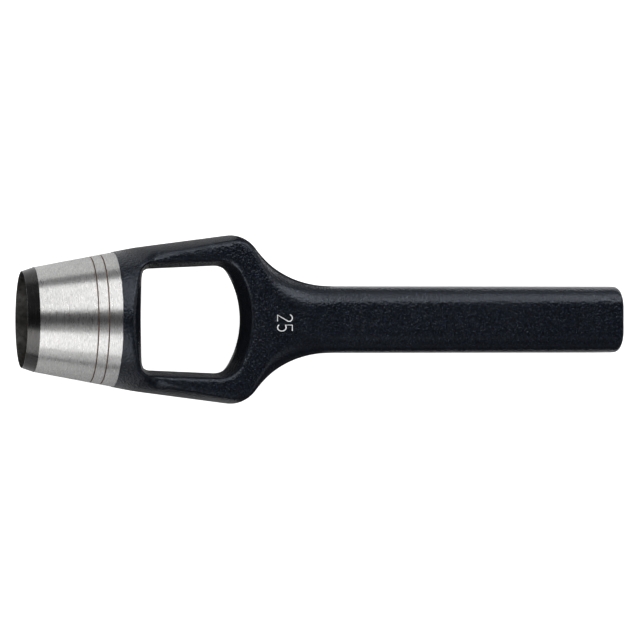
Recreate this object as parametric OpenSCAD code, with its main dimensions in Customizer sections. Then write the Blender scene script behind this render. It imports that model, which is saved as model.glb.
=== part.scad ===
// Arch punch: a hollow hand punch forged in one piece, with a turned cutting head,
// an open window behind the bore for the cut discs, and a flat struck handle.
// Millimetres, +Z up. The punch lies on its back, as it comes to rest:
// +X runs from the cutting edge to the struck end, and the origin is the
// bottom centre of its box.

/* [Cutting head] */
// Diameter of the disc that the edge cuts
cut_d = 25; // [22:0.5:28]
// Width of the flat left on the cutting edge
edge_land = 0.15; // [0.05:0.05:0.4]
// Length of the ground bevel behind the edge
bevel_len = 3.1; // [2:0.1:5]
// Slope of the ground bevel to the tool's axis
bevel_angle = 19; // [15:0.5:22]
// Slope of the turned cone to the tool's axis
cone_angle = 10.9; // [9:0.1:12]
// Length of the turned zone, from the cutting edge
turned_len = 23.9; // [22:0.1:26]
// Distance of the front groove from the cutting edge
groove_front = 17.7; // [10:0.1:18.5]
// Distance between the two turned grooves
groove_pitch = 2.7; // [1.5:0.1:3]
// Width of a turned groove at the surface
groove_w = 0.45; // [0.2:0.05:0.8]
// Depth of a turned groove
groove_depth = 0.25; // [0.1:0.05:0.4]

/* [Bore] */
// Length of the straight bore behind the cutting edge
bore_land = 10; // [6:0.5:14]
// Slope of the relief cone that the cut discs pass through
relief_angle = 1.3; // [0.8:0.1:2.5]

/* [Window] */
// Distance from the turned zone to the window, at the parting plane
collar_len = 8.1; // [7.5:0.1:10]
// Length of the window at the parting plane
window_len = 26.8; // [23:0.1:30]
// Space beside a cut disc as it leaves the bore
disc_clearance = 0.3; // [0.1:0.05:0.6]
// Slope of each long window wall to the axis
window_flare = 2.8; // [1:0.1:3.5]
// Radius of the window's rounded end
window_end_r = 23; // [20:0.5:28]
// Corner radius at the bore end of the window
window_front_r = 1.6; // [1:0.1:3]
// Corner radius at the rounded end of the window
window_back_r = 5; // [3.5:0.1:6]
// Forging draft on the window's long walls and rounded end, each side of the parting plane
window_draft = 8; // [5:0.5:9]
// Forging draft on the window's wall at the bore
window_front_draft = 12; // [8:0.5:13]
// Rounding of the window's edges
window_edge_r = 1.1; // [0.6:0.1:1.5]

/* [Body] */
// Overall length of the punch
overall_len = 165; // [150:1:200]
// Largest width, over the shoulders
shoulder_w = 44.9; // [43.5:0.1:48]
// Distance of the widest point ahead of the window's rounded end
shoulder_set = 3.2; // [2:0.1:4]
// Radius of the shoulder's outer corner
shoulder_r = 7; // [5:0.1:8]
// Radius of the hollow between shoulder and handle
neck_r = 27; // [22:0.5:32]
// Thickness of the cheeks where they leave the round head
cheek_t = 21; // [19:0.25:23]
// Length of the blend from the round head to the flat cheeks
cheek_blend = 6.5; // [5:0.25:9]
// Edge rounding where the cheeks leave the round head
blend_r = 8; // [5:0.25:9]
// Edge rounding along the cheeks
cheek_r = 1.6; // [1:0.1:2.5]
// Edge rounding in the hollow of the neck
neck_edge_r = 7; // [5:0.25:7.5]
// How far the lacquered skin stands proud of the turned zone
skin_step = 0.12; // [0.1:0.02:0.3]

/* [Handle] */
// Width of the handle at the neck
handle_w = 18; // [16:0.5:20]
// Width of the handle at the struck end
handle_end_w = 18.3; // [17:0.1:20]
// Thickness of the handle
handle_t = 13; // [12:0.25:15]
// Edge rounding of the handle
handle_r = 5; // [2.5:0.1:5.2]
// Radius of the handle's slightly barrelled sides
handle_side_r = 60; // [40:5:120]
// Corner radius of the handle's end, seen on its flat
end_corner_r = 2.2; // [1.5:0.1:3]
// Edge rounding round the struck end
end_r = 1; // [0.6:0.1:1.3]

/* [Hidden] */
$fn = 96;
side_points = 6;
edge_points = 5;
flat_points = 9;
ring_points = 4 * (side_points + edge_points + flat_points);
arc_steps = 10;
flare_turn = [0, 30, 55];
clear_margin = 0.8;
edge_radius = cut_d / 2 + edge_land;
bevel_radius = edge_radius + bevel_len * tan(bevel_angle);
window_start = turned_len + collar_len;
window_end = window_start + window_len;
bore_exit_radius = cut_d / 2 + (window_start - bore_land) * tan(relief_angle);
window_half = bore_exit_radius + disc_clearance;
flare = tan(window_flare);
draft = tan(window_draft);
front_draft = tan(window_front_draft);
shoulder_at = window_end - shoulder_set;
shoulder_axis = shoulder_w / 2 - shoulder_r;
neck_axis = handle_w / 2 + neck_r;
neck_end = shoulder_at + sqrt(pow(neck_r + shoulder_r, 2) - pow(neck_axis - shoulder_axis, 2));
neck_turn = asin((neck_end - shoulder_at) / (neck_r + shoulder_r));
shoulder_stop = shoulder_at + shoulder_r * sin(neck_turn);
round_end = window_start - front_draft * cone_radius(window_start);
flank_from = (round_end + window_start) / 2;
cheek_from = round_end + cheek_blend;
handle_from = neck_end + 2;

// Straight flank from the head's cone to the shoulder's arc
flank_run = shoulder_at - flank_from;
flank_rise = shoulder_axis - cone_radius(flank_from);
flank_angle = atan2(flank_rise, flank_run) + asin(shoulder_r / norm([flank_run, flank_rise]));
flank_stop = shoulder_at - shoulder_r * sin(flank_angle);

// Resting on its back: the head's edge at the window and the struck end's lower edge touch the floor
rest_head = [round_end - window_edge_r, cone_radius(round_end) - window_edge_r];
rest_end = [overall_len - end_r, handle_t / 2 - end_r];
rest_run = rest_end[0] - rest_head[0];
rest_drop = rest_head[1] - rest_end[1];
rest_tilt = atan2(rest_drop, rest_run) + asin((window_edge_r - end_r) / norm([rest_run, rest_drop]));
rest_lift = rest_end[0] * sin(rest_tilt) + rest_end[1] * cos(rest_tilt) + end_r;
box_front = -edge_radius * sin(rest_tilt);
box_back = rest_end[0] * cos(rest_tilt) + rest_end[1] * sin(rest_tilt) + end_r;

function cone_radius(s) = bevel_radius + (s - bevel_len) * tan(cone_angle) + skin_step;

function ease(s, from, to) =
    let (t = min(1, max(0, (s - from) / (to - from)))) t * t * (3 - 2 * t);

function mix(a, b, t) = a + (b - a) * t;

function steps(from, to, n) = [for (i = [0 : n - 1]) from + (to - from) * i / n];

// Half-width of the forging at distance s from the cutting edge
function half_width(s) =
    s < flank_stop ? flank_width(s)
    : s < shoulder_stop ? shoulder_axis + sqrt(pow(shoulder_r, 2) - pow(s - shoulder_at, 2))
    : s < neck_end ? neck_axis - sqrt(pow(neck_r, 2) - pow(neck_end - s, 2))
    : handle_width(s) / 2 - end_loss(s, end_corner_r);

function handle_width(s) = mix(handle_w, handle_end_w, (s - neck_end) / (overall_len - neck_end));

function flank_width(s) =
    s < flank_from ? cone_radius(s) : cone_radius(flank_from) + (s - flank_from) * tan(flank_angle);

// Material taken off a side by a rounded end
function end_loss(s, r) =
    s < overall_len - r ? 0 : r - sqrt(max(0, r * r - pow(s - overall_len + r, 2)));

// Half-thickness of the forging: round head, tapering cheeks, flat handle
function half_thickness(s) =
    s <= round_end ? half_width(s)
    : mix(half_width(s), slab(s), ease(s, round_end, cheek_from));

function slab(s) =
    let (t = (s - round_end) / (handle_from - round_end))
    s < handle_from ? handle_t / 2 + (cheek_t - handle_t) / 2 * (1 - t)
    : handle_t / 2 - end_loss(s, end_r);

// Radius of the section's side, and of the edge between side and face
function side_radius(s) = mix(half_width(s), handle_side_r, ease(s, shoulder_at, neck_end));

function edge_rounding(s) =
    let (front = mix(blend_r, cheek_r, ease(s, round_end, cheek_from + cheek_blend)))
    let (neck = mix(front, neck_edge_r, ease(s, shoulder_at, neck_end - 15)))
    min(mix(neck, handle_r, ease(s, neck_end - 12, handle_from)), half_thickness(s) - 0.2);

// One section, as [half-width, half-thickness, side radius, edge radius, side angle, flat half-width]
function section(s) =
    let (w = half_width(s))
    let (h = half_thickness(s))
    let (rs = max(side_radius(s), h + 0.001))
    let (r = edge_rounding(s))
    let (a = asin((h - r) / (rs - r)))
    [w, h, rs, r, a, w - rs + (rs - r) * cos(a)];

// Polar angles where a section's side meets its edge, and where the edge meets the flat
function side_turn(c) = atan2(c[2] * sin(c[4]), c[0] - c[2] + c[2] * cos(c[4]));

function flat_turn(c) = atan2(c[1], c[5]);

// Distance from the axis to the section's outline at polar angle t of its first quarter
function reach(c, t) =
    let (side = c[0] - c[2])
    let (b = c[5] * cos(t) + (c[1] - c[3]) * sin(t))
    t >= flat_turn(c) ? c[1] / sin(t)
    : t <= side_turn(c) ? side * cos(t) + sqrt(pow(c[2], 2) - pow(side * sin(t), 2))
    : b + sqrt(b * b - pow(c[5], 2) - pow(c[1] - c[3], 2) + pow(c[3], 2));

// Polar angles of a quarter's points: the round head keeps those of the first flat section
function quarter_turns(s) =
    let (c = section(max(s, cheek_from)))
    concat(
        steps(0, side_turn(c), side_points),
        steps(side_turn(c), flat_turn(c), edge_points),
        steps(flat_turn(c), 90, flat_points)
    );

function ring_turns(s) =
    let (q = quarter_turns(s))
    let (n = len(q))
    let (half = concat(q, [90], [for (i = [n - 1 : -1 : 1]) 180 - q[i]]))
    concat(half, [for (t = half) t + 180]);

function quarter(t) = let (m = t % 180) m > 90 ? 180 - m : m;

function ring(s) =
    let (c = section(s))
    [for (t = ring_turns(s))
        let (q = reach(c, quarter(t)))
        [s, q * cos(t), q * sin(t)]];

// Height of the forging's face over the parting plane at s along and u across
function face_height(s, u) =
    let (c = section(s))
    let (x = min(abs(u), c[0] - 0.05))
    let (side = c[0] - c[2])
    x <= c[5] ? c[1]
    : x <= side + c[2] * cos(c[4]) ? c[1] - c[3] + sqrt(max(0, pow(c[3], 2) - pow(x - c[5], 2)))
    : sqrt(max(0, pow(c[2], 2) - pow(x - side, 2)));

stations = concat(
    [turned_len],
    steps(round_end, cheek_from, 12),
    steps(cheek_from, flank_stop, 4),
    steps(flank_stop, shoulder_stop, arc_steps),
    [for (i = [0 : arc_steps]) neck_end - neck_r * sin(neck_turn * (arc_steps - i) / arc_steps)],
    [handle_from],
    [for (a = [0 : 22.5 : 45]) overall_len - end_corner_r + end_corner_r * sin(a)],
    [for (a = [45 : 22.5 : 90]) overall_len - end_r + end_r * sin(a)]
);

// Side faces and end caps of a stack of rings
function stack_faces(rings, n) = concat(
    [for (j = [0 : rings - 2]) for (i = [0 : n - 1])
        [j * n + i, (j + 1) * n + (i + 1) % n, j * n + (i + 1) % n]],
    [for (j = [0 : rings - 2]) for (i = [0 : n - 1])
        [j * n + i, (j + 1) * n + i, (j + 1) * n + (i + 1) % n]],
    [[for (i = [0 : n - 1]) i]],
    [[for (i = [n - 1 : -1 : 0]) (rings - 1) * n + i]]
);

// Window outline at the parting plane, upper half from the bore end to the rounded end.
// Each entry is [along, across, outward angle]
end_axis = window_end - window_end_r;
back_gap = window_half + (end_axis - window_start) * flare - window_back_r / cos(window_flare);
back_q = (1 + flare * flare) * (pow(window_end_r - window_back_r, 2) - back_gap * back_gap);
back_x = (sqrt(pow(back_gap * flare, 2) + back_q) - back_gap * flare) / (1 + flare * flare);
back_axis = [end_axis + back_x, back_gap + flare * back_x];
back_turn = atan2(back_axis[1], back_axis[0] - end_axis);
front_axis = [
    window_start + window_front_r,
    window_half + window_front_r * flare - window_front_r / cos(window_flare)
];
front_turn = 90 + window_flare;
half_outline = concat(
    [for (i = [1 : 7]) [window_start, front_axis[1] * i / 8, 180]],
    [for (i = [0 : 9])
        let (a = 180 - (180 - front_turn) * i / 9)
        [front_axis[0] + window_front_r * cos(a), front_axis[1] + window_front_r * sin(a), a]],
    [for (i = [1 : 5])
        let (p = front_axis + window_front_r * [cos(front_turn), sin(front_turn)])
        let (q = back_axis + window_back_r * [cos(front_turn), sin(front_turn)])
        [mix(p[0], q[0], i / 6), mix(p[1], q[1], i / 6), front_turn]],
    [for (i = [0 : 6])
        let (a = mix(front_turn, back_turn, i / 6))
        [back_axis[0] + window_back_r * cos(a), back_axis[1] + window_back_r * sin(a), a]],
    [for (i = [1 : 5])
        let (a = back_turn * (1 - i / 6))
        [end_axis + window_end_r * cos(a), window_end_r * sin(a), a]]
);
outline = concat(
    [[window_end, 0, 0]],
    [for (i = [len(half_outline) - 1 : -1 : 0]) half_outline[i]],
    [[window_start, 0, 180]],
    [for (p = half_outline) [p[0], -p[1], -p[2]]]
);

// An outline point moved outward by d
function moved(p, d) = [p[0] + d * cos(p[2]), p[1] + d * sin(p[2])];

// Draft of the wall at an outline point
function draft_at(p) = mix(draft, front_draft, ease(abs(p[2]), front_turn, 180));

// Height of the face where the wall at an outline point runs out, found in n rounds
function rim(p, z, n) =
    let (top = moved(p, draft_at(p) * z))
    let (h = face_height(top[0], top[1]))
    n == 0 ? h : rim(p, h, n - 1);

function window_ring(a, side, rise) =
    [for (p = outline)
        let (z = rim(p, face_height(p[0], p[1]), 5) - window_edge_r * (1 - sin(a)))
        let (m = moved(p, draft_at(p) * z + window_edge_r * (1 - cos(a)) + rise * tan(a)))
        [m[0], m[1], side * (z + rise)]];

function window_lip(side) = window_ring(flare_turn[len(flare_turn) - 1], side, clear_margin);

function window_cap(side) = [for (p = window_lip(side)) [p[0], p[1], side * shoulder_w]];

window_rings = concat(
    [window_cap(-1)],
    [window_lip(-1)],
    [for (i = [len(flare_turn) - 1 : -1 : 0]) window_ring(flare_turn[i], -1, 0)],
    [[for (p = outline) [p[0], p[1], 0]]],
    [for (a = flare_turn) window_ring(a, 1, 0)],
    [window_lip(1)],
    [window_cap(1)]
);

function flat(list) = [for (part = list) for (p = part) p];

module turned_head() {
    groove_back = groove_front + groove_pitch;
    slope = tan(cone_angle);
    rotate([0, 90, 0])
        rotate_extrude()
            difference() {
                polygon([
                    [0, 0],
                    [edge_radius, 0],
                    [bevel_radius, bevel_len],
                    [bevel_radius + (turned_len + 1 - bevel_len) * slope, turned_len + 1],
                    [0, turned_len + 1]
                ]);
                for (g = [groove_front, groove_back])
                    translate([bevel_radius + (g - bevel_len) * slope, g])
                        polygon([
                            [-groove_depth, 0],
                            [groove_depth, -groove_w],
                            [groove_depth, groove_w]
                        ]);
            }
}

module forged_blank() {
    polyhedron(
        points = flat([for (s = stations) ring(s)]),
        faces = stack_faces(len(stations), ring_points)
    );
}

module window_cutter() {
    polyhedron(
        points = flat(window_rings),
        faces = stack_faces(len(window_rings), len(outline))
    );
}

module disc_bore() {
    rotate([0, 90, 0])
        rotate_extrude()
            polygon([
                [0, -clear_margin],
                [cut_d / 2, -clear_margin],
                [cut_d / 2, bore_land],
                [bore_exit_radius, window_start],
                [bore_exit_radius, window_start + clear_margin],
                [0, window_start + clear_margin]
            ]);
}

module arch_punch() {
    color([0.05, 0.05, 0.06])
        translate([-(box_front + box_back) / 2, 0, rest_lift])
            rotate([0, rest_tilt, 0])
                difference() {
                    union() {
                        turned_head();
                        forged_blank();
                    }
                    window_cutter();
                    disc_bore();
                }
}

arch_punch();
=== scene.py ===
"""Arch punch lying on its back: a forged, lacquered body with a turned cutting head, and its studio."""

import math

import bpy
from bpy.props import FloatProperty, FloatVectorProperty, IntProperty, PointerProperty
from mathutils import Euler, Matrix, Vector


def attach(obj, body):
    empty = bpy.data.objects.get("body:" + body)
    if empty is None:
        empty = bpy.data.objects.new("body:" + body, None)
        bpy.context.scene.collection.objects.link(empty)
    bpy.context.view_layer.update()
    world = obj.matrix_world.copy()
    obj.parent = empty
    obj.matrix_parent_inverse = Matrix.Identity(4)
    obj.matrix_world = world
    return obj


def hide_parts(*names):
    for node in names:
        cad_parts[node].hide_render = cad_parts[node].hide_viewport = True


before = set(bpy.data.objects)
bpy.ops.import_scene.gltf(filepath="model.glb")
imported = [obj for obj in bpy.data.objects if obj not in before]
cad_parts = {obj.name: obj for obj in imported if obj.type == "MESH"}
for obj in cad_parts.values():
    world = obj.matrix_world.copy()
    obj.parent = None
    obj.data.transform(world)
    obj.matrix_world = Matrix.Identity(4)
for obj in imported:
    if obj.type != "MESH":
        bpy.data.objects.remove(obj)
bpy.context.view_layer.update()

bl_info = {
    "name": "Arch punch",
    "version": (1, 0, 0),
    "blender": (4, 5, 0),
    "location": "View3D > Sidebar > Arch punch",
    "description": "Models a forged arch punch with a turned cutting head, and lights it",
    "category": "Add Mesh",
}

MM = 0.001

# Points round each ring of the forging, and segments of the turned head and of the bore
RING_POINTS = 192
HEAD_SEGMENTS = 256
BORE_SEGMENTS = 192
# Share of the skin's faces that stay once it is smoothed
SKIN_KEPT = 0.42
# Strength of one smoothing pass
SMOOTH_FACTOR = 0.5
# Points nearer than this are merged
MERGE_WITHIN = 0.002 * MM
# Radius of the plain circles that rings start from
CIRCLE_RADIUS = 10 * MM
# Edges sharper than this stay crisp
CRISP_ANGLE = math.radians(40)

# How far solids run past the place where they meet, so that they pass through each other
BLANK_LAP = 5 * MM
HEAD_LAP = 0.7 * MM
BORE_LAP = 0.8 * MM
EDGE_LAP = 1 * MM
# How far the window's die reaches above and below the parting plane, and the steps of its flared lip
DIE_REACH = 26 * MM
LIP_STEPS = 10

# The handle is at its own thickness this far behind the neck, and its plain rings start this far on
HANDLE_RUN_IN = 2 * MM
HANDLE_PLAIN = 4 * MM
# How far ahead of the neck's end its rounding is full, and the handle's rounding begins
NECK_ROUND_LEAD = 15 * MM
HANDLE_ROUND_LEAD = 12 * MM
# Least by which the half-thickness exceeds the edge rounding, and the side's radius the half-thickness
SIDE_LEAST = 0.2 * MM
SIDE_PLAY = 0.001 * MM

# The ridge at the parting plane isn't smoothed, this high and this far from the window's walls
RIDGE_HALF = 0.9 * MM
# The window's edges get their further passes this close to the walls, fading out over the last stretch
EDGE_BAND = 2.2 * MM
EDGE_FADE = 1 * MM
# The walls nearer the parting plane than this get no further passes
EDGE_FROM = 3 * MM
# Between these places behind the window's start the further passes weaken to the cheeks' share
FRONT_FULL = -2 * MM
FRONT_DONE = 4 * MM
CHEEK_SHARE = 0.5

# Section of a groove: places across its width and shares of its depth
GROOVE_SECTION = ((-0.5, 0), (-0.34, 0.55), (-0.12, 1), (0.12, 1), (0.34, 0.55), (0.5, 0))
# Share of a groove's width, each way from its middle, in which its faces are looked for
GROOVE_REACH = 0.6
# Faces of the bore are looked for up to this far behind the window's start
BORE_REACH = 2 * MM
# Play left when a face is sorted by the surface that it lies on
HAIR = 0.01 * MM

# Faces of the size mark lie within this margin of its figures, this near the axis and this deep
MARK_MARGIN = 1 * MM
MARK_HALF = 5 * MM
MARK_SUNK = 0.03 * MM
# Size of the faces of the mark's strokes, and the smoothing passes over them
MARK_MESH = 0.05 * MM
MARK_PASSES = 4

# V of the UV map for each metre along the axis
WRAP_PER_METRE = 10

# Lamps hang this far from a point this high over the floor
LAMP_DISTANCE = 1.2
AIM_HEIGHT = 20 * MM
# Name, leans from the vertical, places sideways, glow and bearing of each lamp
LAMPS = (
    ("key_head", (16, 73), (-0.34, 0.06), 2.20, 0),
    ("key_handle", (21, 27), (0.06, 0.55), 6.2, 0),
    ("key_handle_wide", (17, 86), (0.06, 0.55), 0.66, 0),
    ("key_neck", (26, 70), (0.60, 1.20), 3.3, 0),
    ("fill_wide", (-84, -10), (-0.50, 0.10), 0.36, 0),
    ("fill_core", (-63, -25), (-0.50, 0.10), 1.08, 0),
    ("fill_bevel", (-84, -24), (-0.95, -0.50), 3.1, 0),
    ("fill_handle", (-34, -9), (0.10, 0.70), 0.35, 0),
    ("end_left", (54, 84), (-1.0, 1.0), 0.55, 90),
    ("end_right", (56, 80), (-1.0, 1.0), 0.50, -90),
)
# The same for the lamps that light the punch without being mirrored in it
WASHES = (
    ("wash_left", (58, 80), (-0.80, 0.80), 2.8, 0),
    ("wash_right", (-80, -58), (-0.80, 0.80), 0.8, 0),
)
# The seen floor's half-width, and how far the sheets that only the punch sees lie under it
FLOOR_HALF = 4
BOUNCE_HEIGHT = -0.3 * MM
SHADE_CARD_HEIGHT = -0.2 * MM
# The room's light by the sine of the angle over the horizon: shares of the horizon's tone, then the room's
HORIZON_STEPS = ((0.015, 1.0), (0.35, 0.55))
ROOM_FROM = 0.68
# The camera's sensor in millimetres, and the nearest that it sees
SENSOR_WIDTH = 36
CLIP_START = 10 * MM


def length(name, description, default):
    """A size property, with its default in millimetres."""
    return FloatProperty(
        name=name, description=description, default=default * MM, unit="LENGTH", precision=5)


def angle(name, description, default):
    """An angle property, with its default in degrees."""
    return FloatProperty(
        name=name, description=description, default=math.radians(default), subtype="ANGLE")


def colour(name, description, default):
    """A linear colour property."""
    return FloatVectorProperty(
        name=name, description=description, default=default, size=3, subtype="COLOR", min=0, max=1)


def factor(name, description, default):
    """A share or strength between 0 and 1."""
    return FloatProperty(
        name=name, description=description, default=default, min=0, max=1, subtype="FACTOR")


def passes(name, description, default):
    """A count of smoothing passes."""
    return IntProperty(name=name, description=description, default=default, min=1, max=120)


class PunchSizes(bpy.types.PropertyGroup):
    """Sizes of the punch, and how it lies"""

    cut_d: length("Cut diameter", "Diameter of the disc that the edge cuts", 25)
    edge_land: length("Edge land", "Width of the flat left on the cutting edge", 0.15)
    bevel_len: length("Bevel length", "Length of the ground bevel behind the edge", 3.1)
    bevel_angle: angle("Bevel slope", "Slope of the ground bevel to the tool's axis", 19)
    cone_angle: angle("Cone slope", "Slope of the turned cone to the tool's axis", 10.9)
    turned_len: length("Turned length", "Length of the turned zone from the cutting edge", 23.9)
    groove_front: length("Front groove", "Distance of the front groove from the cutting edge", 17.7)
    groove_pitch: length("Groove pitch", "Distance between the two turned grooves", 2.7)
    groove_w: length("Groove width", "Width of a turned groove at the surface", 0.32)
    groove_depth: length("Groove depth", "Depth of a turned groove", 0.25)
    bore_land: length("Bore land", "Length of the straight bore behind the edge", 10)
    relief_angle: angle("Bore relief", "Slope of the bore behind its straight part", 1.3)
    window_start: length("Window start", "Distance of the window from the cutting edge", 32)
    window_end: length("Window end", "Distance of the window's rounded end from the cutting edge", 58.8)
    window_half: length("Window half-width", "Half-width of the window at the bore", 13.3)
    window_flare: angle("Window flare", "Slope of each long window wall to the axis", 2.8)
    window_end_r: length("Window end radius", "Radius of the window's rounded end", 23)
    window_front_r: length("Window front radius", "Corner radius at the bore end of the window", 1.6)
    window_back_r: length("Window back radius", "Corner radius at the rounded end of the window", 5)
    window_draft: angle("Window draft", "Forging draft on the long walls and the rounded end", 8)
    window_front_draft: angle("Front draft", "Forging draft on the window's wall at the bore", 12)
    window_lip_r: length("Window lip radius", "Radius with which that wall flares to the head's skin", 11)
    overall_len: length("Overall length", "Length of the punch", 165)
    shoulder_w: length("Shoulder width", "Largest width, over the shoulders", 44.9)
    shoulder_set: length("Shoulder set", "Distance of the widest point ahead of the window's end", 3.2)
    shoulder_r: length("Shoulder radius", "Radius of the shoulder's outer corner", 7)
    neck_r: length("Neck radius", "Radius of the hollow between shoulder and handle", 27)
    cheek_t: length("Cheek thickness", "Thickness of the cheeks where they leave the head", 21)
    cheek_blend: length("Cheek blend", "Length of the blend from the round head to the cheeks", 6.5)
    blend_r: length("Blend rounding", "Edge rounding where the cheeks leave the head", 8)
    cheek_r: length("Cheek rounding", "Edge rounding along the cheeks, before smoothing", 0.6)
    neck_edge_r: length("Neck rounding", "Edge rounding in the hollow of the neck", 7)
    skin_step: length("Skin step", "How far the lacquered skin stands proud of the turned zone", 0.12)
    handle_w: length("Handle width", "Width of the handle at the neck", 18)
    handle_end_w: length("Handle end width", "Width of the handle at the struck end", 18.3)
    handle_t: length("Handle thickness", "Thickness of the handle", 13)
    handle_r: length("Handle rounding", "Edge rounding of the handle", 5)
    handle_side_r: length("Handle side radius", "Radius of the handle's barrelled sides", 60)
    end_corner_r: length("End corner radius", "Corner radius of the struck end, seen on its flat", 1.5)
    end_r: length("End rounding", "Edge rounding round the struck end", 0.6)
    rest_tilt: angle("Rest tilt", "How far the axis falls towards the struck end at rest", 5.043)
    rest_lift: length("Rest lift", "Height of the cutting edge's centre at rest", 20.894)
    rest_shift: length("Rest shift", "Place of the cutting edge's centre from the box's middle", -81.8685)
    mark_at: length("Mark place", "Distance of the size mark's foot from the cutting edge", 66.8)
    mark_side: length("Mark side", "Sideways place of the size mark's first figure", 1.3)
    mark_h: length("Mark height", "Height of the figures of the size mark", 4.08)
    mark_stroke: length("Mark stroke", "Width of the size mark's strokes", 0.31)
    skin_mesh: length("Skin mesh", "Size of the faces that the forged skin is made of", 0.28)
    skin_passes: passes("Skin passes", "Smoothing passes over the forged skin", 18)
    window_passes: passes("Window passes", "Further passes that round the window's edges", 72)


class PunchFinish(bpy.types.PropertyGroup):
    """Colours and gloss of the punch's finishes"""

    lacquer_dark: colour("Lacquer, dark", "Darker tone of the black lacquer", (0.0002, 0.0004, 0.0012))
    lacquer_light: colour("Lacquer, light", "Lighter tone of the black lacquer", (0.0095, 0.0145, 0.0260))
    lacquer_sheen: colour("Lacquer sheen", "Tint of the light off the lacquer", (0.80, 0.88, 1.0))
    lacquer_gloss: factor("Lacquer roughness", "Roughness of the lacquer", 0.175)
    steel_tone: colour("Turned steel", "Colour of the bright turned steel", (0.595, 0.592, 0.585))
    bevel_tone: colour("Ground bevel", "Colour of the ground bevel", (0.062, 0.061, 0.060))
    bore_tone: colour("Bore", "Colour of the steel inside the bore", (0.12, 0.118, 0.112))
    groove_tone: colour("Groove", "Colour of the dirt in the turned grooves", (0.30, 0.205, 0.155))
    mark_tone: colour("Size mark", "Colour of the figures cut through the lacquer", (0.96, 0.97, 1.0))


class StudioSettings(bpy.types.PropertyGroup):
    """The camera's place and the tones of the stage"""

    lens: FloatProperty(
        name="Lens", description="Focal length on a 36 mm sensor", default=140.6, unit="CAMERA")
    camera_place: FloatVectorProperty(
        name="Camera place", description="Where the camera stands",
        default=(-0.1099, -0.00013, 0.6766), size=3, subtype="TRANSLATION")
    camera_lean: angle("Camera lean", "Lean of the view from straight down to the struck end", 9.26)
    floor_tone: colour("Floor", "Colour of the pale floor", (0.90, 0.90, 0.90))
    floor_glow: factor("Floor glow", "Light that the seen floor gives by itself", 0.90)
    bounce_tone: colour("Bounce", "Colour of the floor that lights the punch", (0.86, 0.86, 0.86))
    # Painted shade: a darker floor tone on the head's -Y side, away from the key lamps, mirrored in the
    # punch
    head_shade_tone: colour("Head bounce", "Colour of the floor on the right of the head", (0.68, 0.68, 0.68))
    # Painted shade: a darker floor tone beside the cheeks and far past the handle, mirrored in the punch
    # in place of shaded floor
    shaded_floor_tone: colour("Cheek bounce", "Colour of the duller floor beside the cheeks", (0.42, 0.42, 0.42))
    # Painted shade: a dark sheet under the window, mirrored in the punch in place of the floor that the
    # punch shades
    shade_card_tone: colour("Card", "Colour of the dark card under the window", (0.04, 0.04, 0.04))
    horizon_tone: colour("Horizon", "Light of the room at the height of the punch", (0.24, 0.24, 0.245))
    room_tone: colour("Room", "Light of the room overhead", (0.043, 0.043, 0.045))


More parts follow.
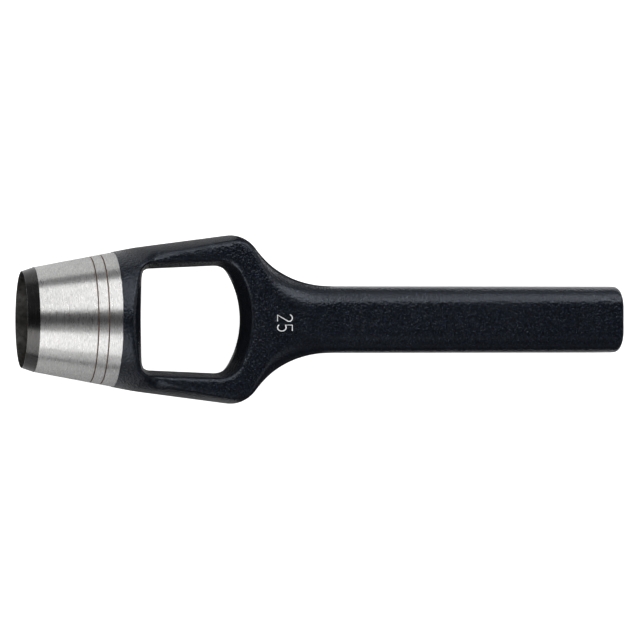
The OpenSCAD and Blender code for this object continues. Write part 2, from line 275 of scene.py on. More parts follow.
class PunchShape:
    """The punch's sections and outlines, worked out from its sizes in metres.

    A place is given by s, along the axis from the cutting edge, u, across, and n, out of the flat."""

    def __init__(self, p):
        self.p = p
        self.edge_radius = p.cut_d / 2 + p.edge_land
        self.bevel_radius = self.edge_radius + p.bevel_len * math.tan(p.bevel_angle)
        self.bore_exit = p.cut_d / 2 + (p.window_start - p.bore_land) * math.tan(p.relief_angle)
        self.lip_from = p.cut_d / 2
        self.shoulder_at = p.window_end - p.shoulder_set
        self.shoulder_axis = p.shoulder_w / 2 - p.shoulder_r
        self.neck_axis = p.handle_w / 2 + p.neck_r
        reach = p.neck_r + p.shoulder_r
        self.neck_end = self.shoulder_at + math.sqrt(reach**2 - (self.neck_axis - self.shoulder_axis) ** 2)
        turn = math.asin((self.neck_end - self.shoulder_at) / reach)
        self.shoulder_stop = self.shoulder_at + p.shoulder_r * math.sin(turn)
        self.round_end = p.window_start - math.tan(p.window_front_draft) * self.skin_radius(p.window_start)
        self.flank_from = (self.round_end + p.window_start) / 2
        self.cheek_from = self.round_end + p.cheek_blend
        self.cheek_full = self.cheek_from + p.cheek_blend
        self.handle_from = self.neck_end + HANDLE_RUN_IN
        run = self.shoulder_at - self.flank_from
        rise = self.shoulder_axis - self.skin_radius(self.flank_from)
        self.flank_angle = math.atan2(rise, run) + math.asin(p.shoulder_r / math.hypot(run, rise))
        self.flank_stop = self.shoulder_at - p.shoulder_r * math.sin(self.flank_angle)
        self.known_sections = {}

    def cone_radius(self, s):
        """Radius of the turned cone."""
        return self.bevel_radius + (s - self.p.bevel_len) * math.tan(self.p.cone_angle)

    def skin_radius(self, s):
        """Radius of the round head's lacquered skin."""
        return self.cone_radius(s) + self.p.skin_step

    @staticmethod
    def ease(s, start, stop):
        """A share that goes smoothly from 0 at start to 1 at stop."""
        t = min(1, max(0, (s - start) / (stop - start)))
        return t * t * (3 - 2 * t)

    @staticmethod
    def mix(a, b, t):
        """The value a share t of the way from a to b."""
        return a + (b - a) * t

    def end_loss(self, s, r):
        """How much a corner of radius r takes off at the struck end."""
        past = s - self.p.overall_len + r
        return 0 if past < 0 else r - math.sqrt(max(0, r * r - past * past))

    def half_width(self, s):
        """Half-width of the forging: head, flank, shoulder, neck, then handle."""
        p = self.p
        if s < self.flank_from:
            return self.skin_radius(s)
        if s < self.flank_stop:
            return self.skin_radius(self.flank_from) + (s - self.flank_from) * math.tan(self.flank_angle)
        if s < self.shoulder_stop:
            return self.shoulder_axis + math.sqrt(p.shoulder_r**2 - (s - self.shoulder_at) ** 2)
        if s < self.neck_end:
            return self.neck_axis - math.sqrt(p.neck_r**2 - (self.neck_end - s) ** 2)
        wide = self.mix(p.handle_w, p.handle_end_w, (s - self.neck_end) / (p.overall_len - self.neck_end))
        return wide / 2 - self.end_loss(s, p.end_corner_r)

    def slab(self, s):
        """Height of the flat over the axis, from the cheeks to the struck end."""
        p = self.p
        if s < self.handle_from:
            t = (s - self.round_end) / (self.handle_from - self.round_end)
            return p.handle_t / 2 + (p.cheek_t - p.handle_t) / 2 * (1 - t)
        return p.handle_t / 2 - self.end_loss(s, p.end_r)

    def half_thickness(self, s):
        """Half-thickness of the forging, round at the head and flat behind it."""
        if s <= self.round_end:
            return self.half_width(s)
        return self.mix(self.half_width(s), self.slab(s), self.ease(s, self.round_end, self.cheek_from))

    def section(self, s):
        """Half-width, half-thickness, side radius, edge radius, side angle and flat half-width at s."""
        key = round(s, 7)
        if key not in self.known_sections:
            p = self.p
            w = self.half_width(s)
            h = self.half_thickness(s)
            side = self.mix(w, p.handle_side_r, self.ease(s, self.shoulder_at, self.neck_end))
            side = max(side, h + SIDE_PLAY)
            front = self.mix(p.blend_r, p.cheek_r, self.ease(s, self.round_end, self.cheek_full))
            neck_full = self.neck_end - NECK_ROUND_LEAD
            neck = self.mix(front, p.neck_edge_r, self.ease(s, self.shoulder_at, neck_full))
            handle_start = self.neck_end - HANDLE_ROUND_LEAD
            r = self.mix(neck, p.handle_r, self.ease(s, handle_start, self.handle_from))
            r = min(r, h - SIDE_LEAST)
            a = math.asin(min(1, (h - r) / (side - r)))
            self.known_sections[key] = (w, h, side, r, a, w - side + (side - r) * math.cos(a))
        return self.known_sections[key]

    def skin_point(self, place):
        """A ring's point pulled in or out onto the forging's section at its place."""
        s = place.x
        turn = math.atan2(place.z, place.y)
        t = abs(turn)
        t = math.pi - t if t > math.pi / 2 else t
        w, h, side, r, a, flat = self.section(s)
        hub = w - side
        if t >= math.atan2(h, flat):
            reach = h / math.sin(t)
        elif t <= math.atan2(side * math.sin(a), hub + side * math.cos(a)):
            reach = hub * math.cos(t) + math.sqrt(side**2 - (hub * math.sin(t)) ** 2)
        else:
            b = flat * math.cos(t) + (h - r) * math.sin(t)
            reach = b + math.sqrt(max(0, b * b - flat**2 - (h - r) ** 2 + r * r))
        return Vector((s, reach * math.cos(turn), reach * math.sin(turn)))

    def stations(self, front):
        """Where the forging's rings stand, closer together where its form turns."""
        p = self.p

        def steps(start, stop, count):
            return [start + (stop - start) * i / count for i in range(count)]

        def corner(r, first, last):
            turns = [math.radians(turn) for turn in range(first, last + 1, 10)]
            return [p.overall_len - r * (1 - math.sin(turn)) for turn in turns]

        rings = steps(front, self.round_end, count=5)
        rings += steps(self.round_end, self.cheek_full, count=26)
        rings += steps(self.cheek_full, self.flank_stop, count=12)
        rings += steps(self.flank_stop, self.shoulder_stop, count=20)
        rings += steps(self.shoulder_stop, self.neck_end, count=24)
        rings += [self.neck_end, self.handle_from]
        rings += steps(self.handle_from + HANDLE_PLAIN, p.overall_len - p.end_corner_r, count=8)
        rings += corner(p.end_corner_r, first=0, last=50)
        rings += corner(p.end_r, first=20, last=90)
        return sorted(set(rings))

    def window_outline(self):
        """The window at the parting plane: (along, across, outward angle) of points round its outline."""
        p = self.p
        flare = math.tan(p.window_flare)
        end_axis = p.window_end - p.window_end_r

        def inside_wall(behind, r):
            """How far across a corner of radius r touches the long wall, behind the window's start."""
            return p.window_half + behind * flare - r / math.cos(p.window_flare)

        def arc(hub, r, start, stop, count):
            turns = [self.mix(start, stop, i / count) for i in range(count + 1)]
            return [(hub[0] + r * math.cos(a), hub[1] + r * math.sin(a), a) for a in turns]

        def run(a, b, count):
            shares = [i / count for i in range(1, count)]
            return [(self.mix(a[0], b[0], t), self.mix(a[1], b[1], t), a[2]) for t in shares]

        # The back corner touches the long wall and the rounded end, x behind the end's axis
        gap = inside_wall(end_axis - p.window_start, p.window_back_r)
        q = (1 + flare**2) * ((p.window_end_r - p.window_back_r) ** 2 - gap**2)
        x = (math.sqrt((gap * flare) ** 2 + q) - gap * flare) / (1 + flare**2)
        back = (end_axis + x, gap + flare * x)
        back_turn = math.atan2(back[1], x)
        wall_turn = math.pi / 2 + p.window_flare
        front = (p.window_start + p.window_front_r, inside_wall(p.window_front_r, p.window_front_r))

        rounded_end = arc((end_axis, 0), p.window_end_r, 0, back_turn, count=12)
        back_corner = arc(back, p.window_back_r, back_turn, wall_turn, count=14)[1:]
        front_corner = arc(front, p.window_front_r, wall_turn, math.pi, count=12)
        front_middle = (p.window_start, 0, math.pi)
        half = rounded_end + back_corner
        half += run(back_corner[-1], front_corner[0], count=14) + front_corner
        half += run(front_corner[-1], front_middle, count=8)
        mirrored = [(s, -u, -a) for s, u, a in half[:0:-1]]
        return half + [front_middle] + mirrored

    def draft_at(self, turn):
        """Slope of the window's wall where the outline faces that way."""
        p = self.p
        share = self.ease(abs(turn), math.pi / 2 + p.window_flare, math.pi)
        return self.mix(math.tan(p.window_draft), math.tan(p.window_front_draft), share)

    def wall_spread(self, height, turn):
        """How far the window's wall stands out at a height from its outline at the parting plane."""
        lip = max(0, height - self.lip_from)
        return self.draft_at(turn) * height + lip * lip / (2 * self.p.window_lip_r)

    def beyond_window(self, place):
        """How far a point lies outside the window's walls at its own height."""
        p = self.p
        s, u, n = place.x, abs(place.y), abs(place.z)
        draft = n * math.tan(p.window_draft)
        long_wall = u - p.window_half - (s - p.window_start) * math.tan(p.window_flare) - draft
        round_wall = math.hypot(s - p.window_end + p.window_end_r, u) - p.window_end_r - draft
        front_wall = p.window_start - self.wall_spread(n, math.pi) - s
        return max(long_wall, front_wall, round_wall if s > p.window_end - p.window_end_r else long_wall)


def select_only(piece):
    """Leaves one object selected and active."""
    bpy.ops.object.select_all(action="DESELECT")
    piece.select_set(True)
    bpy.context.view_layer.objects.active = piece


def finish_with(piece, kind, **settings):
    """Adds a modifier to a piece, sets it and applies it."""
    select_only(piece)
    bpy.ops.object.modifier_add(type=kind)
    modifier = piece.modifiers[-1]
    for name, value in settings.items():
        setattr(modifier, name, value)
    bpy.ops.object.modifier_apply(modifier=modifier.name)


def combine(piece, tool, operation):
    """Joins a solid to a piece or cuts it out of it, and takes the solid away."""
    finish_with(piece, "BOOLEAN", operation=operation, object=tool, solver="MANIFOLD")
    mesh = tool.data
    bpy.data.objects.remove(tool)
    bpy.data.meshes.remove(mesh)


def new_name(name):
    """Names the active object and its data."""
    piece = bpy.context.object
    piece.name = name
    piece.data.name = name
    return piece


def ring_stack(name, points, stations, axis):
    """A closed stack of rings: a filled circle extruded from station to station along X or Z.

    The rings are plain circles, whose points are put in their places afterwards."""
    bpy.ops.object.select_all(action="DESELECT")
    along = Vector((1, 0, 0)) if axis == "X" else Vector((0, 0, 1))
    lean = (0, math.pi / 2, 0) if axis == "X" else (0, 0, 0)
    bpy.ops.mesh.primitive_circle_add(
        vertices=points, radius=CIRCLE_RADIUS, fill_type="NGON",
        location=along * stations[0], rotation=lean)
    piece = new_name(name)
    bpy.ops.object.transform_apply(location=True, rotation=True, scale=True)
    bpy.ops.object.mode_set(mode="EDIT")
    bpy.ops.mesh.select_all(action="SELECT")
    for near, far in zip(stations, stations[1:]):
        bpy.ops.mesh.extrude_region_move(TRANSFORM_OT_translate={"value": along * (far - near)})
    bpy.ops.object.mode_set(mode="OBJECT")
    return piece


def face_outwards(piece):
    """Merges a piece's doubles and turns its faces outwards."""
    select_only(piece)
    bpy.ops.object.mode_set(mode="EDIT")
    bpy.ops.mesh.select_all(action="SELECT")
    bpy.ops.mesh.remove_doubles(threshold=MERGE_WITHIN)
    bpy.ops.mesh.normals_make_consistent(inside=False)
    bpy.ops.object.mode_set(mode="OBJECT")


def turned_solid(name, profile, segments):
    """A closed turned solid: a profile of (along, radius) points, drawn one by one and spun about X."""
    bpy.ops.object.select_all(action="DESELECT")
    bpy.ops.mesh.primitive_plane_add(size=MM)
    piece = new_name(name)
    bpy.ops.object.mode_set(mode="EDIT")
    bpy.ops.mesh.select_all(action="SELECT")
    bpy.ops.mesh.merge(type="CENTER")
    bpy.ops.transform.translate(value=(profile[0][0], 0, profile[0][1]))
    for near, far in zip(profile, profile[1:]):
        step = (far[0] - near[0], 0, far[1] - near[1])
        bpy.ops.mesh.extrude_vertices_move(TRANSFORM_OT_translate={"value": step})
    bpy.ops.mesh.select_all(action="SELECT")
    bpy.ops.mesh.spin(steps=segments, angle=2 * math.pi, center=(0, 0, 0), axis=(1, 0, 0))
    bpy.ops.object.mode_set(mode="OBJECT")
    face_outwards(piece)
    return piece


def forged_blank(shape):
    """The forging before its window is pierced: rings pulled onto the section at each station."""
    stations = shape.stations(shape.p.turned_len - BLANK_LAP)
    blank = ring_stack("forged_blank", RING_POINTS, stations, "X")
    for vertex in blank.data.vertices:
        vertex.co = shape.skin_point(vertex.co)
    face_outwards(blank)
    return blank


def shift_of_circle(count):
    """Share of a step by which a primitive circle's first vertex stands off the X axis."""
    return (0.25 * count) % 1


def window_punch(shape):
    """The die that pierces the window: its outline, widening above and below the parting plane."""
    outline = shape.window_outline()
    count = len(outline)
    lip_heights = [shape.mix(shape.lip_from, DIE_REACH, i / LIP_STEPS) for i in range(LIP_STEPS + 1)]
    heights = [-height for height in reversed(lip_heights)] + [0] + lip_heights
    punch = ring_stack("window_punch", count, heights, "Z")
    for vertex in punch.data.vertices:
        turn = math.atan2(vertex.co.y, vertex.co.x) % (2 * math.pi)
        s, u, facing = outline[round(turn / (2 * math.pi) * count - shift_of_circle(count)) % count]
        out = shape.wall_spread(abs(vertex.co.z), facing)
        vertex.co.x = s + out * math.cos(facing)
        vertex.co.y = u + out * math.sin(facing)
    face_outwards(punch)
    return punch


def mark_smoothing(body, shape):
    """Vertex groups for smoothing: the skin without the ridge in the window, and the window's edges."""
    front_full = shape.p.window_start + FRONT_FULL
    front_done = shape.p.window_start + FRONT_DONE
    skin = body.vertex_groups.new(name="skin")
    edge = body.vertex_groups.new(name="window_edge")
    for vertex in body.data.vertices:
        off = shape.beyond_window(vertex.co)
        height = abs(vertex.co.z)
        if off > RIDGE_HALF or height > RIDGE_HALF:
            skin.add([vertex.index], 1, "REPLACE")
        if off < EDGE_BAND and height > EDGE_FROM:
            share = shape.mix(1, CHEEK_SHARE, shape.ease(vertex.co.x, front_full, front_done))
            edge.add([vertex.index], share * min(1, (EDGE_BAND - off) / EDGE_FADE), "REPLACE")


def forged_skin(shape):
    """The forging with its window pierced and its skin smoothed, cut off where the turned zone begins."""
    p = shape.p
    body = forged_blank(shape)
    combine(body, window_punch(shape), "DIFFERENCE")
    finish_with(body, "REMESH", mode="VOXEL", voxel_size=p.skin_mesh)
    mark_smoothing(body, shape)
    for group, count in (("skin", p.skin_passes), ("window_edge", p.window_passes)):
        finish_with(body, "SMOOTH", factor=SMOOTH_FACTOR, iterations=count, vertex_group=group)
    finish_with(body, "DECIMATE", ratio=SKIN_KEPT)
    select_only(body)
    bpy.ops.object.mode_set(mode="EDIT")
    bpy.ops.mesh.select_all(action="SELECT")
    bpy.ops.mesh.bisect(
        plane_co=(p.turned_len, 0, 0), plane_no=(1, 0, 0), use_fill=True, clear_inner=True)
    bpy.ops.object.mode_set(mode="OBJECT")
    return body


def head_profile(shape):
    """Profile of the turned head: edge land, ground bevel, cone and its two grooves."""
    p = shape.p
    profile = [(0, 0), (0, shape.edge_radius), (p.bevel_len, shape.bevel_radius)]
    for groove in (p.groove_front, p.groove_front + p.groove_pitch):
        for across, deep in GROOVE_SECTION:
            s = groove + across * p.groove_w
            profile.append((s, shape.cone_radius(s) - deep * p.groove_depth))
    back = p.turned_len + HEAD_LAP
    return profile + [(back, shape.cone_radius(back)), (back, 0)]


def bore_profile(shape):
    """Profile of the bore: straight behind the edge, then opening slowly up to the window."""
    p = shape.p
    radius = p.cut_d / 2
    past = p.window_start + BORE_LAP
    straight = [(-EDGE_LAP, 0), (-EDGE_LAP, radius), (p.bore_land, radius)]
    return straight + [(past, shape.bore_exit), (past, 0)]


def mark_strokes(p):
    """Centre lines of the two figures of the size mark, foot at zero, in their own (right, up) plane.

    The figures' points are shares of their height and width."""
    h = p.mark_h
    wide = 0.44 * h
    step = 1.50 * wide

    def arc(hub, rx, ry, start, stop, count):
        turns = [math.radians(start + (stop - start) * i / count) for i in range(count + 1)]
        return [(hub[0] + rx * math.cos(a), hub[1] + ry * math.sin(a)) for a in turns]

    r = wide / 2
    two = arc((r, h - r), r, r, 165, -38, count=18) + [(0.02 * h, 0), (wide, 0)]
    bowl = arc((0.40 * wide, 0.29 * h), 0.52 * wide, 0.29 * h, 118, -140, count=20)
    five = [(0.92 * wide, h), (0.04 * wide, h), (0.04 * wide, 0.52 * h)] + bowl
    return [two, [(x + step, y) for x, y in five]]


def mark_cutter(shape):
    """Round-nosed strokes of the size mark, on the front face with the figures' tops to the handle."""
    p = shape.p
    nose = p.mark_stroke * 0.54
    proud = p.mark_stroke * 0.2
    bpy.ops.object.select_all(action="DESELECT")
    line = bpy.data.curves.new("size_mark", "CURVE")
    line.dimensions = "3D"
    line.bevel_depth = nose
    line.bevel_resolution = 3
    line.use_fill_caps = True
    for points in mark_strokes(p):
        stroke = line.splines.new("POLY")
        stroke.points.add(len(points) - 1)
        for point, (right, up) in zip(stroke.points, points):
            s = p.mark_at + up
            point.co = (s, p.mark_side - right, shape.slab(s) + proud, 1)
    cutter = bpy.data.objects.new("size_mark", line)
    bpy.context.scene.collection.objects.link(cutter)
    select_only(cutter)
    bpy.ops.object.convert(target="MESH")
    cutter = new_name("size_mark")
    finish_with(cutter, "REMESH", mode="VOXEL", voxel_size=MARK_MESH)
    finish_with(cutter, "SMOOTH", factor=SMOOTH_FACTOR, iterations=MARK_PASSES)
    return cutter


# Slots of the finishes on the body
LACQUER, STEEL, BEVEL, BORE, GROOVE, MARK = range(6)


def slot_of(face, shape):
    """The finish of a face by its place: bore, bevel, groove, turned cone, size mark or lacquer."""
    p = shape.p
    s, u, n = face.center
    out = math.hypot(u, n)
    inward = face.normal.y * u + face.normal.z * n < 0
    if inward and s < p.window_start + BORE_REACH and out < shape.bore_exit + HAIR:
        return BORE
    if s < p.turned_len - HAIR:
        if s < p.bevel_len:
            return BEVEL
        grooves = (p.groove_front, p.groove_front + p.groove_pitch)
        beside_groove = any(abs(s - groove) < p.groove_w * GROOVE_REACH for groove in grooves)
        return GROOVE if beside_groove and out < shape.cone_radius(s) - HAIR else STEEL
    along_mark = p.mark_at - MARK_MARGIN < s < p.mark_at + p.mark_h + MARK_MARGIN
    if along_mark and abs(u) < MARK_HALF and 0 < n < shape.slab(s) - MARK_SUNK:
        return MARK
    return LACQUER


def wrap_head(piece):
    """A UV map whose U runs round the tool's axis and V along it, for the grain of the turned steel."""
    layer = piece.data.uv_layers.new(name="round_the_axis")
    for face in piece.data.polygons:
        corners = [piece.data.vertices[index].co for index in face.vertices]
        turns = [math.atan2(place.z, place.y) / (2 * math.pi) for place in corners]
        if max(turns) - min(turns) > 0.5:
            turns = [turn + 1 if turn < 0 else turn for turn in turns]
        for loop, turn, place in zip(face.loop_indices, turns, corners):
            layer.data[loop].uv = (turn, place.x * WRAP_PER_METRE)


def sharpen_borders(piece):
    """Keeps the borders between the finishes crisp and shades the rest smooth."""
    select_only(piece)
    bpy.ops.object.mode_set(mode="EDIT")
    bpy.ops.mesh.select_mode(type="FACE")
    for index in (STEEL, BEVEL, BORE, GROOVE):
        bpy.ops.mesh.select_all(action="DESELECT")
        piece.active_material_index = index
        bpy.ops.object.material_slot_select()
        bpy.ops.mesh.region_to_loop()
        bpy.ops.mesh.mark_sharp()
        bpy.ops.mesh.select_mode(type="FACE")
    bpy.ops.object.mode_set(mode="OBJECT")
    bpy.ops.object.shade_smooth_by_angle(angle=CRISP_ANGLE, keep_sharp_edges=True)


def lay_at_rest(piece, p):
    """Lays a piece modelled along the axis on its back, with its place in its mesh."""
    select_only(piece)
    piece.rotation_euler = (0, p.rest_tilt, 0)
    piece.location = (p.rest_shift, 0, p.rest_lift)
    bpy.ops.object.transform_apply(location=True, rotation=True, scale=True)


class Finish:
    """A material being put together: its nodes, its links and its shader."""

    def __init__(self, name):
        self.material = bpy.data.materials.new(name)
        self.material.use_nodes = True
        self.tree = self.material.node_tree
        self.shader = self.tree.nodes["Principled BSDF"]

    def fill(self, socket, value):
        """Links a node's output to a socket, or sets the socket to a plain value."""
        if hasattr(value, "is_output"):
            self.tree.links.new(value, socket)
        else:
            socket.default_value = value

    def node(self, kind, inputs=(), **settings):
        """A new node with its settings and inputs."""
        made = self.tree.nodes.new(kind)
        for name, value in settings.items():
            setattr(made, name, value)
        for name, value in inputs:
            self.fill(made.inputs[name], value)
        return made

    def set(self, name, value):
        """Fills one of the shader's own sockets."""
        self.fill(self.shader.inputs[name], value)

    def place(self, tilt=0.0, scale=(1, 1, 1)):
        """Object coordinates turned along the tool's axis and scaled."""
        where = self.node("ShaderNodeTexCoord").outputs["Object"]
        turned = self.node("ShaderNodeMapping", [("Vector", where), ("Rotation", (0, -tilt, 0))])
        sized = self.node("ShaderNodeMapping", [("Vector", turned.outputs["Vector"]), ("Scale", scale)])
        return sized.outputs["Vector"]

    def noise(self, vector, scale, detail, rough):
        """Cloudy noise, with its scale in spots to the metre."""
        inputs = [("Vector", vector), ("Scale", scale), ("Detail", detail), ("Roughness", rough)]
        return self.node("ShaderNodeTexNoise", inputs).outputs["Fac"]

    def spread(self, value, low, high, start=0.3, stop=0.7):
        """A value stretched from start..stop to low..high."""
        inputs = [("Value", value), ("From Min", start), ("From Max", stop)]
        inputs += [("To Min", low), ("To Max", high)]
        return self.node("ShaderNodeMapRange", inputs).outputs["Result"]

    def ramp(self, share, a, b):
        """A colour between a and b."""
        ramp = self.node("ShaderNodeValToRGB", [("Fac", share)])
        ramp.color_ramp.elements[0].color = (*a, 1)
        ramp.color_ramp.elements[1].color = (*b, 1)
        return ramp.outputs["Color"]

    def bump(self, height, distance):
        """A bumped normal, with its depth in metres."""
        inputs = [("Height", height), ("Distance", distance), ("Strength", 1.0)]
        return self.node("ShaderNodeBump", inputs).outputs["Normal"]


def shaded(tone, share):
    """A colour made darker or lighter by a share."""
    return tuple(min(1, channel * share) for channel in tone)


def lacquer_finish(f):
    """Satin black lacquer over a fine-grained forged skin."""
    made = Finish("black_lacquer")
    where = made.place()
    grain = made.noise(where, scale=1650, detail=2, rough=0.55)
    speck = made.noise(where, scale=2900, detail=1, rough=0.5)
    cloud = made.noise(where, scale=90, detail=3, rough=0.55)
    speck_share = made.spread(speck, 0, 1, start=0.45, stop=0.72)
    made.set("Base Color", made.ramp(speck_share, f.lacquer_dark, f.lacquer_light))
    made.set("Roughness", made.spread(cloud, f.lacquer_gloss - 0.03, f.lacquer_gloss + 0.04))
    made.set("Specular IOR Level", 0.5)
    made.set("Specular Tint", (*f.lacquer_sheen, 1))
    made.set("Normal", made.bump(grain, 0.15 * MM))
    return made.material


def turned_finish(name, tone, tilt, rough, lay, deep):
    """Turned or ground steel with fine lines round the axis.

    The lay is how strongly the lines draw out the gloss, and deep is their depth."""
    made = Finish(name)
    line_scale = (4200, 1000, 1000)
    broad_scale = (2400, 260, 260)
    lines = made.noise(made.place(tilt, line_scale), scale=1, detail=2, rough=0.6)
    broad = made.noise(made.place(tilt, broad_scale), scale=1, detail=2, rough=0.5)
    line_share = made.spread(lines, 0, 1, start=0.25, stop=0.75)
    tangent = made.node("ShaderNodeTangent", direction_type="UV_MAP", uv_map="round_the_axis")
    made.set("Base Color", made.ramp(line_share, shaded(tone, 0.72), shaded(tone, 1.18)))
    made.set("Metallic", 1.0)
    made.set("Roughness", made.spread(broad, rough - 0.03, rough + 0.03))
    made.set("Anisotropic", lay)
    made.set("Anisotropic Rotation", 0.25)
    made.set("Tangent", tangent.outputs["Tangent"])
    made.set("Normal", made.bump(lines, deep))
    return made.material


def plain_finish(name, tone, rough, metallic, grain, mottle):
    """Dull steel or dirt, mottled by a share of its tone at a grain given in spots to the metre."""
    made = Finish(name)
    spots = made.noise(made.place(), scale=grain, detail=3, rough=0.6)
    spot_share = made.spread(spots, 0, 1)
    made.set("Base Color", made.ramp(spot_share, shaded(tone, 1 - mottle), shaded(tone, 1 + mottle)))
    made.set("Metallic", metallic)
    made.set("Roughness", made.spread(spots, rough - 0.08, rough + 0.08))
    made.set("Normal", made.bump(spots, 0.01 * MM))
    return made.material


def punch_finishes(p, f):
    """The finishes in the order of their slots on the body."""
    return (
        lacquer_finish(f),
        turned_finish("turned_steel", f.steel_tone, p.rest_tilt, rough=0.29, lay=0.6, deep=0.019 * MM),
        turned_finish("ground_bevel", f.bevel_tone, p.rest_tilt, rough=0.25, lay=0.2, deep=0.006 * MM),
        plain_finish("bore_steel", f.bore_tone, rough=0.40, metallic=1.0, grain=800, mottle=0.35),
        plain_finish("groove_dirt", f.groove_tone, rough=0.40, metallic=1.0, grain=900, mottle=0.4),
        plain_finish("mark_metal", f.mark_tone, rough=0.55, metallic=0.0, grain=2200, mottle=0.15),
    )


class ARCHPUNCH_OT_body(bpy.types.Operator):
    """Forge the body, pierce its window, turn the head, bore it and lay it at rest"""

    bl_idname = "archpunch.body"
    bl_label = "Punch body"
    bl_options = {"REGISTER", "UNDO"}

    def execute(self, context):
        p = context.scene.arch_punch_sizes
        shape = PunchShape(p)
        body = forged_skin(shape)
        combine(body, turned_solid("turned_head", head_profile(shape), HEAD_SEGMENTS), "UNION")
        combine(body, turned_solid("bore", bore_profile(shape), BORE_SEGMENTS), "DIFFERENCE")
        combine(body, mark_cutter(shape), "DIFFERENCE")
        body.name = "punch_body"
        body.data.name = "punch_body"
        body.data.materials.clear()
        for finish in punch_finishes(p, context.scene.arch_punch_finish):
            body.data.materials.append(finish)
        for face in body.data.polygons:
            face.material_index = slot_of(face, shape)
        wrap_head(body)
        sharpen_borders(body)
        lay_at_rest(body, p)
        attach(body, "root")
        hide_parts("arch_punch")
        return {"FINISHED"}


def softbox(name, leans, span, glow, bearing):
    """A soft rectangular lamp between two leans from the vertical and two places sideways.

    It leans towards +Y, or towards +Y turned round the vertical by the bearing. Angles in degrees."""
    low, high = (math.radians(lean) for lean in leans)
    turn = (low + high) / 2
    size = (span[1] - span[0], 2 * LAMP_DISTANCE * math.tan((high - low) / 2))
    facing = Euler((-turn, 0, math.radians(bearing)), "XYZ")
    place = Vector(((span[0] + span[1]) / 2, 0, LAMP_DISTANCE))
    place.rotate(facing)
    place.z += AIM_HEIGHT
    bpy.ops.object.select_all(action="DESELECT")
    bpy.ops.object.light_add(type="AREA", location=place, rotation=facing)
    lamp = new_name(name)
    lamp.data.shape = "RECTANGLE"
    lamp.data.size, lamp.data.size_y = size
    lamp.data.energy = glow * math.pi * size[0] * size[1]
    lamp.visible_camera = False
    return lamp


def hang_lamps():
    """Hangs all the lamps round the stage."""
    for lamp in LAMPS:
        softbox(*lamp)
    for wash in WASHES:
        softbox(*wash).visible_glossy = False


def paper_sheet(name, tone, glow, low, high, height):
    """A flat sheet of paper between two corners, at a height."""
    bpy.ops.object.select_all(action="DESELECT")
    middle = ((low[0] + high[0]) / 2, (low[1] + high[1]) / 2, height)
    bpy.ops.mesh.primitive_plane_add(size=1, location=middle)
    sheet = new_name(name)
    sheet.scale = (high[0] - low[0], high[1] - low[1], 1)
    bpy.ops.object.transform_apply(location=True, rotation=True, scale=True)
    paper = Finish(name)
    cloud = paper.noise(paper.place(), scale=3, detail=2, rough=0.5)
    paper.set("Base Color", paper.ramp(cloud, shaded(tone, 0.98), tone))
    paper.set("Roughness", 0.9)
    paper.set("Specular IOR Level", 0.1)
    paper.set("Emission Color", (*tone, 1))
    paper.set("Emission Strength", glow)
    sheet.data.materials.append(paper.material)
    return sheet


def lay_floor(studio):
    """The pale floor that is seen, and under it the sheets that light the punch and are not seen.

    Each sheet has its tone, its own glow, its lowest and highest corners and its height."""
    corner = (FLOOR_HALF, FLOOR_HALF)
    far_corner = (-FLOOR_HALF, -FLOOR_HALF)
    floor = paper_sheet("floor", studio.floor_tone, studio.floor_glow, far_corner, corner, 0)
    for kind in ("glossy", "diffuse", "transmission", "volume_scatter", "shadow"):
        setattr(floor, "visible_" + kind, False)
    bright = studio.bounce_tone
    shaded_floor = studio.shaded_floor_tone
    for name, tone, glow, low, high, height in (
        ("bounce_head_left", bright, 0.0, (-0.45, 0.0), (-0.055, 0.45), BOUNCE_HEIGHT),
        # Painted shade: the floor on the head's -Y side is darker
        ("bounce_head_right_shaded", studio.head_shade_tone, 0.0, (-0.45, -0.60), (-0.055, 0.0), BOUNCE_HEIGHT),
        # Painted shade: darker sheets beside the cheeks and far past the handle
        ("bounce_cheek_shaded", shaded_floor, 0.0, (-0.055, -0.040), (-0.022, 0.30), BOUNCE_HEIGHT),
        ("bounce_handle_left", bright, 0.60, (0.004, 0.0), (0.45, 0.019), BOUNCE_HEIGHT),
        ("bounce_handle_rim", bright, 0.95, (0.004, 0.019), (0.45, 0.034), BOUNCE_HEIGHT),
        ("bounce_handle_far_shaded", shaded_floor, 0.0, (0.010, 0.034), (0.45, 0.30), BOUNCE_HEIGHT),
        ("bounce_handle_right", bright, 0.0, (0.004, -0.024), (0.45, 0.0), BOUNCE_HEIGHT),
        # Painted shade: the dark card under the window stands in for the floor shaded by the punch, seen
        # only in its mirrorings
        ("window_shade_card", studio.shade_card_tone, 0.0, (-0.053, -0.007), (-0.017, 0.0095), SHADE_CARD_HEIGHT),
    ):
        paper_sheet(name, tone, glow, low, high, height).visible_camera = False


def studio_room(studio):
    """The room around the stage: dim overhead and under the floor, brighter towards the horizon."""
    room = bpy.data.worlds.new("room")
    room.use_nodes = True
    nodes = room.node_tree.nodes
    links = room.node_tree.links
    where = nodes.new("ShaderNodeTexCoord")
    height = nodes.new("ShaderNodeSeparateXYZ")
    links.new(where.outputs["Generated"], height.inputs["Vector"])
    ramp = nodes.new("ShaderNodeValToRGB")
    links.new(height.outputs["Z"], ramp.inputs["Fac"])
    stops = ramp.color_ramp.elements
    stops[0].position = 0.0
    stops[0].color = (*studio.room_tone, 1)
    stops[1].position = ROOM_FROM
    stops[1].color = (*studio.room_tone, 1)
    for position, share in HORIZON_STEPS:
        stops.new(position).color = (*shaded(studio.horizon_tone, share), 1)
    links.new(ramp.outputs["Color"], nodes["Background"].inputs["Color"])
    return room


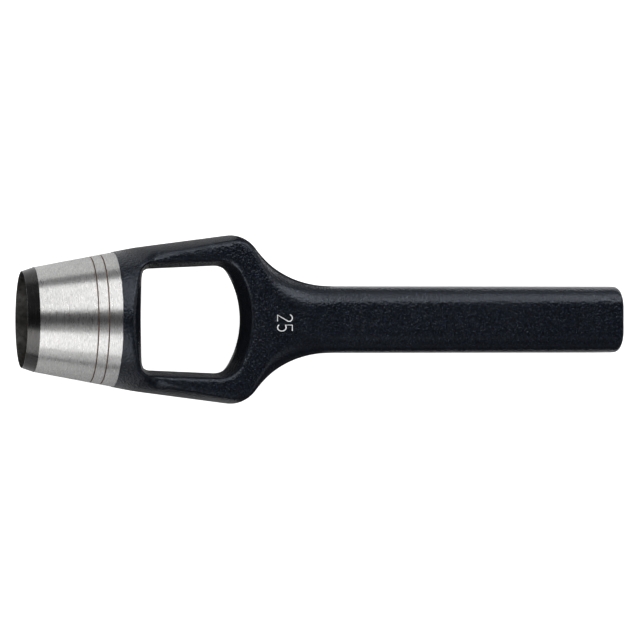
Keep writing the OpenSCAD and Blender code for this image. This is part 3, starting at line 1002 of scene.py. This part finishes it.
def set_camera(scene, studio):
    """Stands the camera over the punch and shows colours as they are."""
    bpy.ops.object.camera_add(location=studio.camera_place)
    camera = bpy.context.object
    camera.name = "camera"
    camera.data.sensor_width = SENSOR_WIDTH
    camera.data.lens = studio.lens
    camera.data.clip_start = CLIP_START
    camera.rotation_euler = (0, -studio.camera_lean, 0)
    scene.camera = camera
    scene.view_settings.view_transform = "Standard"
    scene.view_settings.look = "None"


class ARCHPUNCH_OT_stage(bpy.types.Operator):
    """Lay the pale floor, hang the lamps and set the camera"""

    bl_idname = "archpunch.stage"
    bl_label = "Stage"
    bl_options = {"REGISTER", "UNDO"}

    def execute(self, context):
        studio = context.scene.arch_punch_studio
        lay_floor(studio)
        hang_lamps()
        context.scene.world = studio_room(studio)
        set_camera(context.scene, studio)
        return {"FINISHED"}


class ARCHPUNCH_PT_panel(bpy.types.Panel):
    """Buttons and sizes of the arch punch"""

    bl_idname = "ARCHPUNCH_PT_panel"
    bl_label = "Arch punch"
    bl_space_type = "VIEW_3D"
    bl_region_type = "UI"
    bl_category = "Arch punch"

    def draw(self, context):
        scene = context.scene
        column = self.layout.column()
        column.operator("archpunch.body")
        column.operator("archpunch.stage")
        for group in (scene.arch_punch_sizes, scene.arch_punch_finish, scene.arch_punch_studio):
            for name in group.__annotations__:
                column.prop(group, name)


CLASSES = (
    PunchSizes,
    PunchFinish,
    StudioSettings,
    ARCHPUNCH_OT_body,
    ARCHPUNCH_OT_stage,
    ARCHPUNCH_PT_panel,
)


def register():
    """Registers the classes and puts the settings on the scene."""
    for kind in CLASSES:
        bpy.utils.register_class(kind)
    bpy.types.Scene.arch_punch_sizes = PointerProperty(type=PunchSizes)
    bpy.types.Scene.arch_punch_finish = PointerProperty(type=PunchFinish)
    bpy.types.Scene.arch_punch_studio = PointerProperty(type=StudioSettings)


def unregister():
    """Takes the settings and the classes away again."""
    del bpy.types.Scene.arch_punch_studio
    del bpy.types.Scene.arch_punch_finish
    del bpy.types.Scene.arch_punch_sizes
    for kind in reversed(CLASSES):
        bpy.utils.unregister_class(kind)


def main():
    """Models the punch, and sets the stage."""
    register()
    bpy.ops.archpunch.body()
    bpy.ops.archpunch.stage()


if __name__ == "__main__":
    main()
